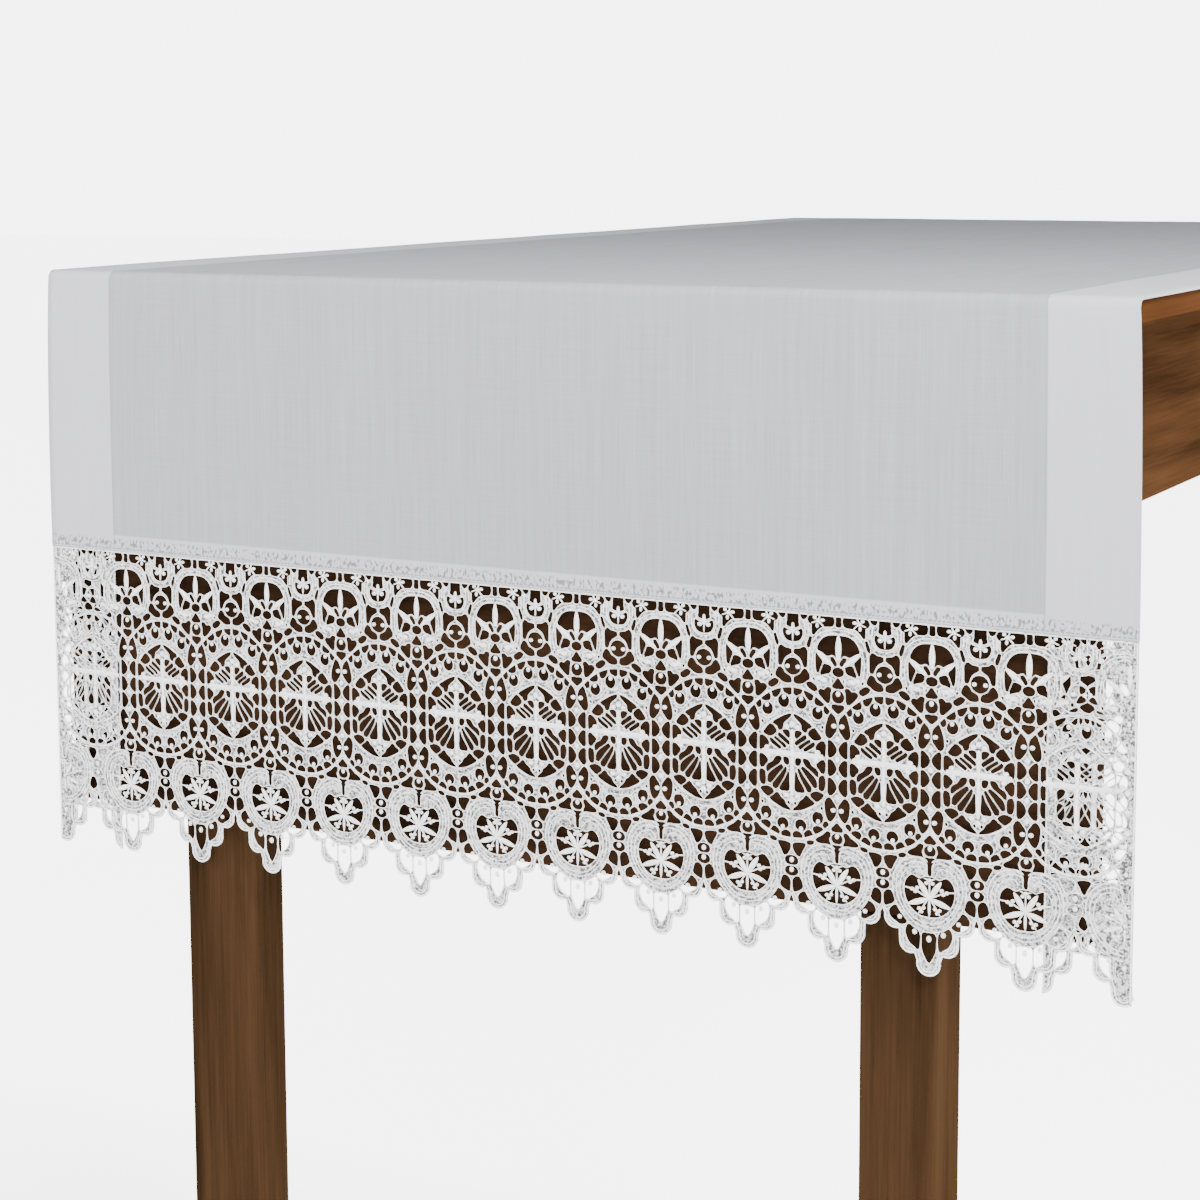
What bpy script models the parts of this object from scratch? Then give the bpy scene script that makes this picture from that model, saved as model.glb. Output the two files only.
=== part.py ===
"""An altar cloth that lies along a plain wooden table and hangs over its ends.

The near end carries a deep lace border. Units are metres, +Z is up, and the origin is on the floor
under the middle of the table. The near end faces -Y. Everything follows from the sizes below.
"""

import math

import bmesh
import bpy

# The cloth.
CLOTH_WIDTH = 0.900
TABLE_RUN = 1.508            # from the outside of the near drop to the outside of the far drop
PLAIN_DROP = 0.226           # from the top of the cloth to its lower hem
CLOTH_THICK = 0.0015
HEM_THICK = 0.0024           # where the cloth is turned under
SIDE_HEM = 0.062
LOWER_HEM = 0.013
HEM_STEP = 0.0015            # how far the edge of a hem takes to thin out
BEND_INSIDE = 0.005          # inner radius of the bend over the table's edge
SPREAD = 0.004               # how far each edge of the drop has swung out at its foot
DROP_WAVE = 0.0022           # how far the drop stands out in its soft waves
WAVES = ((0.3, 9.0, 0.8), (0.2, 23.0, 2.0))  # share of the wave, radians per metre across, phase
FALL_POWER = 0.7             # how soon below the bend the edge starts to swing out
EDGE_POWER = 5               # how closely that swing keeps to the edge
GAP = 0.0003                 # between pieces that touch
EDGE_CLEAR = 0.002           # between the drops and the ends of the top
CLOSE = 1e-6                 # points nearer than this are one point

# The lace border. Its chart is written in units: across it a unit is one repeat of the pattern, from
# one cross to the next, and down it a unit is UNIT_DOWN. A cross is on the middle of the border.
REPEAT = 0.0690
UNIT_DOWN = 0.0709
LACE_THICK = 0.0018
FOLD_LAP = 0.0002            # how far the folded end sinks into the front layer
LACE_FOLD = 0.90             # the end that is turned under with the side hem, in repeats
FOLD_SET_BACK = 0.0008       # how far the folded end stays inside the fold

# The table.
TABLE_HEIGHT = 0.900
TOP_THICK = 0.016
TOP_ROUND = 0.004
TOP_INSET = 0.002            # how far the cloth's sides stand past the top
LEG = 0.056
LEG_INSET = 0.1285           # from the cloth's side to the leg's outer face, were the frame centred
FRAME_SHIFT = -0.0095        # how far the legs, rails and end boards stand off the cloth's middle
LEG_BACK = 0.008             # from the drop's outer face to the leg's front face
RAIL_THICK = 0.022
RAIL_DEPTH = 0.207           # from the top of the cloth to the side rail's lower edge
END_BOARD_THICK = 0.018
END_BOARD_DEPTH = 0.438      # from the top of the cloth to the near end board's lower edge
END_BOARD_INSET = 0.015
WOOD_ROUND = 0.0025

TOP_OF_CLOTH = TABLE_HEIGHT + GAP + HEM_THICK
HALF_WIDTH = CLOTH_WIDTH / 2
HALF_RUN = TABLE_RUN / 2
LACE_TOP = TOP_OF_CLOTH - PLAIN_DROP - GAP

# The cloth's rows along its length: where each drop, bend and the top have a row of points.
DROP_ROWS = (0.0, 0.25, 0.45, 0.65, 0.85)
TOP_ROWS = (0.05, 0.2, 0.4, 0.6, 0.8, 0.95)
BEND_STEPS = 4
INNER_COLUMNS = 10

# The arcs of one scallop, from the valley to its middle. Columns: the centre's distance from the
# scallop's middle, its depth under the lace's top, the radius, and the angles in degrees where the
# arc starts and stops, with 180 towards the valley and 270 down. Lengths are in units.
LOBES = (
    # from middle, depth, radius, start, stop, steps
    (0.360, 2.935, 0.120, 170, 290, 4),
    (0.196, 3.165, 0.120, 176, 292, 4),
    (0.000, 3.365, 0.130, 170, 270, 3),
)
VALLEY_DEPTH = 2.86

# The largest gaps of one repeat. Columns: the line that the place is measured from ("cross" or
# "star", half a repeat apart), the distance to each side of it, the depth under the lace's top, the
# width, the height, the lean in degrees away from the line at its foot, how much wider the foot is
# than the head, and the number of corners. A gap at distance 0 is there once, the others twice.
GAPS = (
    # line, aside, depth, width, height, lean, taper, corners
    ("cross", 0.000, 0.065, 0.125, 0.105, 0, 0.0, 6),      # over the cup
    ("star", 0.105, 0.315, 0.165, 0.175, -35, 0.3, 6),     # between the star's petals
    ("cross", 0.107, 0.435, 0.115, 0.170, 16, -0.3, 5),    # above the small ring
    ("cross", 0.000, 0.545, 0.145, 0.145, 0, 0.0, 8),      # the small ring
    ("cross", 0.105, 0.655, 0.120, 0.130, 40, -0.2, 5),    # below the small ring
    ("star", 0.072, 1.105, 0.090, 0.235, -6, 0.3, 6),      # the upper bow
    ("cross", 0.125, 1.110, 0.220, 0.090, -38, 0.0, 6),    # under the pointed arch
    ("star", 0.066, 1.350, 0.080, 0.150, 0, 0.0, 6),       # the chain of diamonds
    ("cross", 0.140, 1.920, 0.220, 0.095, 34, 0.0, 6),     # over the lower arch
    ("star", 0.072, 1.955, 0.090, 0.225, 6, -0.3, 6),      # the lower bow
    ("star", 0.190, 2.560, 0.125, 0.140, -6, 0.2, 6),      # inside the heart
    ("star", 0.335, 2.915, 0.110, 0.185, -46, 0.0, 6),     # the outer lobe
    ("star", 0.180, 3.110, 0.120, 0.210, -6, -0.1, 6),     # the middle lobe
    ("star", 0.000, 3.225, 0.125, 0.310, 0, -0.35, 7),     # the point
)
CLEAR_OF_FOLD = 0.02         # how near to the folded end a gap may come, in repeats


def clear_scene():
    for obj in list(bpy.data.objects):
        bpy.data.objects.remove(obj, do_unlink=True)


def new_collection(name):
    collection = bpy.data.collections.new(name)
    bpy.context.scene.collection.children.link(collection)
    return collection


def material(name, colour, roughness):
    made = bpy.data.materials.new(name)
    made.use_nodes = True
    shader = made.node_tree.nodes["Principled BSDF"]
    shader.inputs["Base Color"].default_value = (*colour, 1.0)
    shader.inputs["Roughness"].default_value = roughness
    made.diffuse_color = (*colour, 1.0)
    return made


def add_mesh(name, mesh, collection, look=None):
    obj = bpy.data.objects.new(name, mesh)
    collection.objects.link(obj)
    if look:
        obj.data.materials.append(look)
    return obj


def block(name, low, high, collection, look=None, rounding=0.0):
    """A board or post between two corners, with its long edges eased."""
    size = [b - a for a, b in zip(low, high)]
    cube = bmesh.new()
    bmesh.ops.create_cube(cube, size=1.0)
    bmesh.ops.scale(cube, vec=size, verts=cube.verts)
    mesh = bpy.data.meshes.new(name)
    cube.to_mesh(mesh)
    cube.free()
    obj = add_mesh(name, mesh, collection, look)
    obj.location = [(a + b) / 2 for a, b in zip(low, high)]
    if rounding:
        ease = obj.modifiers.new("eased edges", "BEVEL")
        ease.width = rounding
        ease.segments = 1
        ease.limit_method = "ANGLE"
    return obj


def cut(obj, cutter, name):
    cutter.hide_render = True
    cutter.display_type = "WIRE"
    boolean = obj.modifiers.new(name, "BOOLEAN")
    boolean.operation = "DIFFERENCE"
    boolean.object = cutter


def build_top(parts, look):
    """The board, whose ends stay clear of the cloth's drops."""
    end = HALF_RUN - HEM_THICK - EDGE_CLEAR
    side = HALF_WIDTH - TOP_INSET
    top = block(
        "table_top", (-side, -end, TABLE_HEIGHT - TOP_THICK), (side, end, TABLE_HEIGHT), parts, look
    )
    ease = top.modifiers.new("eased edges", "BEVEL")
    ease.width = TOP_ROUND
    ease.segments = 2
    ease.limit_method = "ANGLE"


def build_legs(parts, cutters, look):
    """Four square legs. An end board is let into the outer face of each pair."""
    outer = HALF_WIDTH - LEG_INSET
    head = TABLE_HEIGHT - TOP_THICK - GAP
    for end, sign_y, depth in (("near", -1, END_BOARD_DEPTH), ("far", 1, RAIL_DEPTH)):
        board_foot = TOP_OF_CLOTH - depth
        for side, sign_x in (("left", -1), ("right", 1)):
            face = HALF_RUN - LEG_BACK
            xs = sorted(FRAME_SHIFT + sign_x * reach for reach in (outer, outer - LEG))
            ys = sorted((sign_y * face, sign_y * (face - LEG)))
            leg = block(
                f"leg_{end}_{side}", (xs[0], ys[0], 0), (xs[1], ys[1], head), parts, look, WOOD_ROUND
            )
            rebate = sorted((sign_y * (face + LEG), sign_y * (face - END_BOARD_THICK - GAP)))
            cutter = block(
                f"rebate_{end}_{side}",
                (xs[0] - LEG, rebate[0], board_foot - GAP),
                (xs[1] + LEG, rebate[1], head + LEG),
                cutters,
            )
            cut(leg, cutter, "rebate for the end board")


def build_rails(parts, look):
    """A rail along each side between the legs, set in from their outer faces, and the end boards."""
    head = TABLE_HEIGHT - TOP_THICK - GAP
    outer = HALF_WIDTH - LEG_INSET - WOOD_ROUND
    reach = HALF_RUN - LEG_BACK - LEG - GAP
    for side, sign in (("left", -1), ("right", 1)):
        xs = sorted(FRAME_SHIFT + sign * place for place in (outer, outer - RAIL_THICK))
        block(
            f"rail_{side}",
            (xs[0], -reach, TOP_OF_CLOTH - RAIL_DEPTH),
            (xs[1], reach, head),
            parts,
            look,
            WOOD_ROUND,
        )
    half = HALF_WIDTH - END_BOARD_INSET
    face = HALF_RUN - LEG_BACK
    for end, sign, depth in (("near", -1, END_BOARD_DEPTH), ("far", 1, RAIL_DEPTH)):
        ys = sorted((sign * face, sign * (face - END_BOARD_THICK)))
        block(
            f"end_board_{end}",
            (FRAME_SHIFT - half, ys[0], TOP_OF_CLOTH - depth),
            (FRAME_SHIFT + half, ys[1], head),
            parts,
            look,
            WOOD_ROUND,
        )


def cloth_rows():
    """The outer face along the cloth, as (place in y, place in z, share of the drop, which drop)."""
    radius = BEND_INSIDE + HEM_THICK
    hem_rows = (LOWER_HEM / PLAIN_DROP, (LOWER_HEM + HEM_STEP) / PLAIN_DROP)
    shares = sorted(DROP_ROWS + hem_rows)
    straight = PLAIN_DROP - radius
    foot = TOP_OF_CLOTH - PLAIN_DROP
    near = [(-HALF_RUN, foot + straight * share, share, -1) for share in shares]
    near.append((-HALF_RUN, TOP_OF_CLOTH - radius, 1.0, -1))
    for step in range(1, BEND_STEPS + 1):
        angle = math.pi / 2 * step / BEND_STEPS
        y = -HALF_RUN + radius * (1 - math.cos(angle))
        near.append((y, TOP_OF_CLOTH - radius * (1 - math.sin(angle)), 1.0, 0))
    top = [((share * 2 - 1) * (HALF_RUN - radius), TOP_OF_CLOTH, 1.0, 0) for share in TOP_ROWS]
    far = [(-y, z, share, -side) for y, z, share, side in reversed(near)]
    return near + top + far


def cloth_columns():
    """Places across the cloth, with two at the edge of each side hem."""
    inner = HALF_WIDTH - SIDE_HEM - HEM_STEP
    middle = [-inner + 2 * inner * n / INNER_COLUMNS for n in range(INNER_COLUMNS + 1)]
    sides = [-HALF_WIDTH, -HALF_WIDTH + SIDE_HEM]
    return sides + middle + [-x for x in reversed(sides)]


def billow(x, share):
    """How far a point of a drop moves sideways and outwards, from its share of the way up the drop."""
    fallen = math.sin(math.pi / 2 * (1 - share)) ** FALL_POWER
    sideways = fallen * SPREAD * (x / HALF_WIDTH) ** EDGE_POWER
    waves = sum(part * (1 + math.sin(rate * x + phase)) for part, rate, phase in WAVES)
    return sideways, DROP_WAVE * math.sin(math.pi * share) * waves


def build_cloth(parts, look):
    """One sheet, thicker where its sides and ends are turned under."""
    rows = cloth_rows()
    columns = cloth_columns()
    sheet = bmesh.new()
    bmesh.ops.create_grid(sheet, x_segments=len(columns) - 1, y_segments=len(rows) - 1, size=0.5)
    mesh = bpy.data.meshes.new("cloth")
    sheet.to_mesh(mesh)
    sheet.free()
    cloth = add_mesh("cloth", mesh, parts, look)
    hem = cloth.vertex_groups.new(name="hem")
    hem_share = LOWER_HEM / PLAIN_DROP
    for vertex in mesh.vertices:
        x = columns[round((vertex.co.x + 0.5) * (len(columns) - 1))]
        y, z, share, side = rows[round((vertex.co.y + 0.5) * (len(rows) - 1))]
        in_side_hem = abs(x) >= HALF_WIDTH - SIDE_HEM - CLOSE
        turned = in_side_hem or (side != 0 and share <= hem_share + CLOSE)
        hem.add([vertex.index], 1.0 if turned else 0.0, "REPLACE")
        sideways, outwards = billow(x, share) if side else (0.0, 0.0)
        vertex.co = (x + sideways, y + side * outwards, z)
    thick = cloth.modifiers.new("cloth thickness", "SOLIDIFY")
    thick.thickness = HEM_THICK
    thick.offset = -1.0
    thick.use_even_offset = True
    thick.vertex_group = "hem"
    thick.thickness_vertex_group = CLOTH_THICK / HEM_THICK
    for face in mesh.polygons:
        face.use_smooth = True


def scallop_points(first, last):
    """The lace's lower edge between two places across it, in repeats from a cross."""
    points = []
    for n in range(math.floor(first) - 1, math.ceil(last) + 1):
        half = []
        for aside, depth, radius, start, stop, steps in LOBES:
            for step in range(steps + 1):
                angle = math.radians(start + (stop - start) * step / steps)
                half.append((-aside + radius * math.cos(angle), depth - radius * math.sin(angle)))
        whole = [(-0.5, VALLEY_DEPTH)] + half + [(-u, v) for u, v in reversed(half[:-1])]
        points.extend((n + 0.5 + u, v) for u, v in whole)
    inside = [p for p in points if first < p[0] < last]
    ends = []
    for place in (first, last):
        before = max((p for p in points if p[0] <= place), key=lambda p: p[0])
        after = min((p for p in points if p[0] > place), key=lambda p: p[0])
        share = (place - before[0]) / (after[0] - before[0])
        ends.append((place, before[1] + share * (after[1] - before[1])))
    return [ends[0]] + inside + [ends[1]]


def gap_points(row, line, mirror):
    """The corners of one gap: an oval that tapers and leans."""
    _, aside, depth, width, height, lean, taper, corners = row
    points = []
    for corner in range(corners):
        angle = math.radians(90 + 360 * corner / corners)
        v = -height / 2 * math.sin(angle)
        u = width / 2 * math.cos(angle) * (1 + taper * v / (height / 2))
        turn = math.radians(lean)
        across = u * math.cos(turn) + v * math.sin(turn)
        down = v * math.cos(turn) - u * math.sin(turn)
        points.append((line + mirror * (aside + across), depth + down))
    return points


def lace_gaps(first, last):
    """Every gap of the border that lies clear of the folded ends."""
    gaps = []
    for n in range(math.floor(first) - 1, math.ceil(last) + 1):
        for row in GAPS:
            line = n if row[0] == "cross" else n + 0.5
            for mirror in (1, -1) if row[1] else (1,):
                points = gap_points(row, line, mirror)
                across = [u for u, _ in points]
                if min(across) > first + CLEAR_OF_FOLD and max(across) < last - CLEAR_OF_FOLD:
                    gaps.append(points)
    return gaps


def flat_sheet(name, outline, holes, thickness):
    """A flat piece from an outline with holes, standing in the XZ plane, as a mesh."""
    curve = bpy.data.curves.new(name, "CURVE")
    curve.dimensions = "2D"
    curve.fill_mode = "BOTH"
    curve.extrude = thickness / 2
    for loop in [outline] + holes:
        spline = curve.splines.new("POLY")
        spline.points.add(len(loop) - 1)
        for point, (x, z) in zip(spline.points, loop):
            point.co = (x, z, 0.0, 1.0)
        spline.use_cyclic_u = True
    guide = bpy.data.objects.new(name + " outline", curve)
    bpy.context.scene.collection.objects.link(guide)
    bpy.context.view_layer.update()
    graph = bpy.context.evaluated_depsgraph_get()
    mesh = bpy.data.meshes.new_from_object(guide.evaluated_get(graph))
    bpy.data.objects.remove(guide, do_unlink=True)
    welded = bmesh.new()
    welded.from_mesh(mesh)
    bmesh.ops.remove_doubles(welded, verts=welded.verts, dist=CLOSE)
    for vertex in welded.verts:
        vertex.co = (vertex.co.x, -vertex.co.z, vertex.co.y)
    bmesh.ops.recalc_face_normals(welded, faces=welded.faces)
    welded.to_mesh(mesh)
    welded.free()
    return mesh


def build_lace(parts, cutters, look):
    """The border hangs from the near hem, and each of its ends is turned under behind it."""
    half = (HALF_WIDTH + SPREAD) / REPEAT

    def place(points):
        return [(u * REPEAT, LACE_TOP - v * UNIT_DOWN) for u, v in points]

    outline = [(half, 0.0), (-half, 0.0)] + scallop_points(-half, half)
    holes = [place(hole) for hole in lace_gaps(LACE_FOLD - half, half - LACE_FOLD)]
    lace = add_mesh("lace", flat_sheet("lace", place(outline), holes, LACE_THICK), parts, look)
    lace.location.y = -HALF_RUN + LACE_THICK / 2
    set_back = FOLD_SET_BACK / REPEAT
    for name, side in (("left", -1), ("right", 1)):
        fold = side * half
        starts, stops = sorted((fold + side * set_back, fold + side * LACE_FOLD))
        hidden = [(stops, set_back), (starts, set_back)] + scallop_points(starts, stops)
        mirrored = [(2 * fold - u, v) for u, v in hidden]
        under = add_mesh(f"fold_{name}", flat_sheet(name, place(mirrored), [], LACE_THICK), cutters)
        under.location.y = lace.location.y + LACE_THICK - FOLD_LAP
        under.hide_render = True
        under.display_type = "WIRE"
        join = lace.modifiers.new(f"folded end, {name}", "BOOLEAN")
        join.operation = "UNION"
        join.solver = "MANIFOLD"
        join.object = under


def main():
    clear_scene()
    parts = new_collection("altar_cloth_on_table")
    cutters = new_collection("cutters")
    wood = material("oiled_wood", (0.25, 0.13, 0.06), 0.5)
    linen = material("white_cloth", (0.78, 0.78, 0.80), 0.85)
    thread = material("lace_thread", (0.88, 0.88, 0.88), 0.8)
    build_top(parts, wood)
    build_legs(parts, cutters, wood)
    build_rails(parts, wood)
    build_cloth(parts, linen)
    build_lace(parts, cutters, thread)


main()
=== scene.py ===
"""An altar cloth with a deep lace border, draped over the ends of a plain wooden table."""

import math

import bmesh
import bpy
import numpy as np
from mathutils import Matrix, Vector, noise
from mathutils.geometry import delaunay_2d_cdt


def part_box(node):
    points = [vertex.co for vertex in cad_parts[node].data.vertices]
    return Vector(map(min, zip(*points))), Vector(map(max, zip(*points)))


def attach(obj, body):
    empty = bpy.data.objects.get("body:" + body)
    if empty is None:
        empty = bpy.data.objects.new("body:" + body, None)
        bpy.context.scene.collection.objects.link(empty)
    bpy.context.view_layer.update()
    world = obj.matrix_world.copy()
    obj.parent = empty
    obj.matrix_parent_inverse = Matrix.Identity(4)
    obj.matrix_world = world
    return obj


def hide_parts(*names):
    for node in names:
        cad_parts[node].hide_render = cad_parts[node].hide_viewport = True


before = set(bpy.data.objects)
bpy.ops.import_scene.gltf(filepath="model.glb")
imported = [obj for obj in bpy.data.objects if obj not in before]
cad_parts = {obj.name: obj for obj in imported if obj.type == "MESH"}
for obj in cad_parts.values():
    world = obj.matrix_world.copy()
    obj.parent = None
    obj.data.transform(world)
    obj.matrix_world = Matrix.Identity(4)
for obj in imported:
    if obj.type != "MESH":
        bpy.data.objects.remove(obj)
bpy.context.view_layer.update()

# The cloth, as it lies on the table and hangs over its ends.
CLOTH_WIDTH = 0.900
PLAIN_DROP = 0.226
CLOTH_THICK = 0.0015
HEM_THICK = 0.0024
SIDE_HEM = 0.062
LOWER_HEM = 0.013
HEM_STEP = 0.0015
BEND_OUTSIDE = 0.0074
SPREAD = 0.004
DROP_WAVE = 0.0022
WAVES = ((0.3, 9.0, 0.8), (0.2, 23.0, 2.0))
FALL_POWER = 0.7
EDGE_POWER = 5
FINE_WAVE = 0.0004
HALF_WIDTH = CLOTH_WIDTH / 2
TOP_OF_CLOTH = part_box("cloth")[1][2]
HALF_RUN = 0.754

# The lace. Across it a unit is one repeat, from cross to cross. Down it a unit is UNIT_DOWN.
REPEAT = 0.0690
UNIT_DOWN = 0.0709
LACE_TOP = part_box("lace")[1][2]
HALF_LACE = (HALF_WIDTH + SPREAD) / REPEAT
LACE_FOLD = 0.90
LACE_MIDDLE = -HALF_RUN + 0.0009
FOLD_BEHIND = 0.0018
NET_THICK = 0.0008
WALL_GLOW = 6.0
CEILING_GLOW = 0.25
FLOOR_GLOW = 0.6
FAR_FLOOR_GLOW = 5.2
CORD = 0.0056
CORD_DEEP = 0.00085
OPENED = 0.021
OPENED_BY_SOLID = 0.011
WEB = 0.008
FOOT_RIM = 0.055

# The lower edge of one scallop, from the valley to its middle.
LOBES = (
    # from middle, depth, radius, start, stop, steps
    (0.360, 2.935, 0.120, 170, 290, 9),
    (0.196, 3.165, 0.120, 176, 292, 9),
    (0.000, 3.365, 0.130, 170, 270, 8),
)
VALLEY_DEPTH = 2.86

# The openings of one repeat, charted as corners (across, down) that a smooth line joins. Those on a
# line give their right half from the top down. The others lie right of the line and are mirrored.
ON_CROSS = (
    # over the cup
    ((0.060, 0.010), (0.058, 0.045), (0.054, 0.095), (0.068, 0.132), (0.046, 0.150), (0.024, 0.148),
     (0.017, 0.112)),
    # round the flower in the cup
    ((0.028, 0.178), (0.058, 0.158), (0.098, 0.168), (0.105, 0.212), (0.082, 0.262), (0.042, 0.285)),
)
ON_STAR = (
    # round the star's upper petal
    ((0.010, 0.204), (0.110, 0.214), (0.176, 0.252), (0.218, 0.316), (0.224, 0.352), (0.166, 0.376),
     (0.120, 0.400), (0.088, 0.390), (0.056, 0.388), (0.022, 0.412)),
    # between the bars
    ((0.026, 0.010), (0.026, 0.060), (0.026, 0.106)),
    # the triangle under the star
    ((0.004, 0.632), (0.030, 0.665), (0.060, 0.716)),
    # the triangle under the small ring
    ((0.060, 0.903), (0.036, 0.940), (0.004, 0.968)),
    # over the lower small ring
    ((0.004, 2.092), (0.034, 2.125), (0.054, 2.150), (0.030, 2.166)),
    # the heart's cleft
    ((0.052, 2.306), (0.042, 2.330), (0.019, 2.364), (0.014, 2.420), (0.012, 2.486)),
    # inside the heart
    ((0.029, 2.505), (0.066, 2.520), (0.104, 2.530), (0.130, 2.522), (0.158, 2.507), (0.188, 2.502),
     (0.219, 2.522), (0.248, 2.565), (0.258, 2.612), (0.258, 2.662), (0.249, 2.712), (0.228, 2.763),
     (0.195, 2.811), (0.156, 2.846), (0.113, 2.871), (0.058, 2.888)),
    # the point
    ((0.058, 3.072), (0.063, 3.150), (0.059, 3.235), (0.036, 3.305), (0.006, 3.352)),
)
BY_CROSS = (
    # beside the cup's arm
    ((0.080, 0.010), (0.164, 0.010), (0.156, 0.034), (0.122, 0.054), (0.090, 0.040)),
    # between the cup and the star
    ((0.206, 0.238), (0.192, 0.234), (0.160, 0.320), (0.164, 0.346), (0.184, 0.330)),
    # over the ring
    ((0.157, 0.370), (0.125, 0.345), (0.088, 0.366), (0.020, 0.380), (0.018, 0.404), (0.080, 0.440),
     (0.114, 0.488), (0.127, 0.536), (0.153, 0.536), (0.157, 0.450)),
    # under the ring
    ((0.183, 0.648), (0.152, 0.572), (0.122, 0.580), (0.090, 0.630), (0.026, 0.660), (0.018, 0.700),
     (0.090, 0.706), (0.140, 0.686)),
    # over the upper arch
    ((0.192, 0.686), (0.152, 0.704), (0.166, 0.724), (0.238, 0.766), (0.272, 0.752), (0.262, 0.734)),
    # inside the upper arch
    ((0.014, 0.768), (0.106, 0.780), (0.096, 0.806), (0.050, 0.832), (0.018, 0.820)),
    ((0.130, 0.788), (0.178, 0.794), (0.240, 0.834), (0.206, 0.870), (0.164, 0.850)),
    ((0.242, 0.840), (0.282, 0.834), (0.346, 0.892), (0.310, 0.914), (0.256, 0.898)),
    ((0.350, 0.936), (0.378, 0.918), (0.404, 0.952), (0.390, 0.990), (0.354, 0.978)),
    # under the pointed arch
    ((0.014, 1.030), (0.024, 1.046), (0.072, 1.090), (0.108, 1.136), (0.114, 1.182), (0.148, 1.198),
     (0.164, 1.156), (0.214, 1.134), (0.172, 1.104), (0.088, 1.056)),
    # the diamond at the pointed arch's foot
    ((0.246, 1.156), (0.182, 1.208), (0.200, 1.240), (0.246, 1.266), (0.318, 1.228)),
    # between the chain's cord and the cross
    ((0.350, 1.284), (0.302, 1.300), (0.266, 1.344), (0.290, 1.393), (0.345, 1.422), (0.354, 1.356)),
    ((0.350, 1.472), (0.302, 1.490), (0.276, 1.520), (0.302, 1.572), (0.345, 1.594), (0.353, 1.535)),
    ((0.350, 1.628), (0.308, 1.637), (0.296, 1.685), (0.302, 1.764), (0.340, 1.762), (0.354, 1.700)),
    # the slanted cords over the arms
    ((0.104, 1.210), (0.040, 1.206), (0.040, 1.270)),
    ((0.150, 1.236), (0.095, 1.268), (0.041, 1.312), (0.042, 1.340), (0.100, 1.302), (0.156, 1.262)),
    ((0.196, 1.272), (0.130, 1.312), (0.068, 1.358), (0.084, 1.380), (0.140, 1.338), (0.206, 1.294)),
    ((0.246, 1.302), (0.234, 1.292), (0.180, 1.328), (0.122, 1.374), (0.132, 1.392), (0.168, 1.376),
     (0.238, 1.322)),
    # under the arms
    ((0.096, 1.480), (0.045, 1.480), (0.042, 1.536), (0.072, 1.536)),
    ((0.178, 1.482), (0.122, 1.480), (0.160, 1.546), (0.240, 1.598), (0.282, 1.636), (0.282, 1.576),
     (0.216, 1.542)),
    # the fan of rays
    ((0.114, 1.556), (0.100, 1.574), (0.164, 1.650), (0.248, 1.750), (0.274, 1.740), (0.262, 1.676),
     (0.180, 1.600)),
    ((0.072, 1.574), (0.060, 1.590), (0.098, 1.680), (0.172, 1.796), (0.212, 1.786), (0.214, 1.764),
     (0.140, 1.668)),
    ((0.042, 1.612), (0.038, 1.700), (0.038, 1.800), (0.080, 1.810), (0.136, 1.800), (0.120, 1.758),
     (0.070, 1.680)),
    # over the lower arch
    ((0.300, 1.796), (0.246, 1.800), (0.202, 1.834), (0.246, 1.880), (0.276, 1.884), (0.326, 1.840),
     (0.344, 1.816)),
    ((0.250, 1.906), (0.206, 1.875), (0.166, 1.846), (0.134, 1.880), (0.090, 1.920), (0.066, 1.958),
     (0.016, 2.008), (0.080, 1.995), (0.170, 1.956)),
    # inside the lower arch
    ((0.348, 2.158), (0.296, 2.140), (0.238, 2.168), (0.244, 2.210), (0.294, 2.208)),
    ((0.240, 2.228), (0.200, 2.190), (0.138, 2.236), (0.146, 2.262), (0.204, 2.258)),
    ((0.118, 2.254), (0.070, 2.218), (0.020, 2.240), (0.022, 2.274), (0.084, 2.282)),
    ((0.402, 2.084), (0.364, 2.086), (0.342, 2.130), (0.364, 2.148), (0.394, 2.124)),
    # under the lower arch
    ((0.246, 2.302), (0.200, 2.306), (0.166, 2.314), (0.170, 2.334), (0.220, 2.326)),
    ((0.154, 2.336), (0.120, 2.336), (0.016, 2.350), (0.013, 2.380), (0.062, 2.450), (0.088, 2.460),
     (0.120, 2.400)),
    # between the hearts
    ((0.088, 2.690), (0.034, 2.706), (0.018, 2.770), (0.018, 2.834), (0.060, 2.816), (0.120, 2.770)),
)
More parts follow.
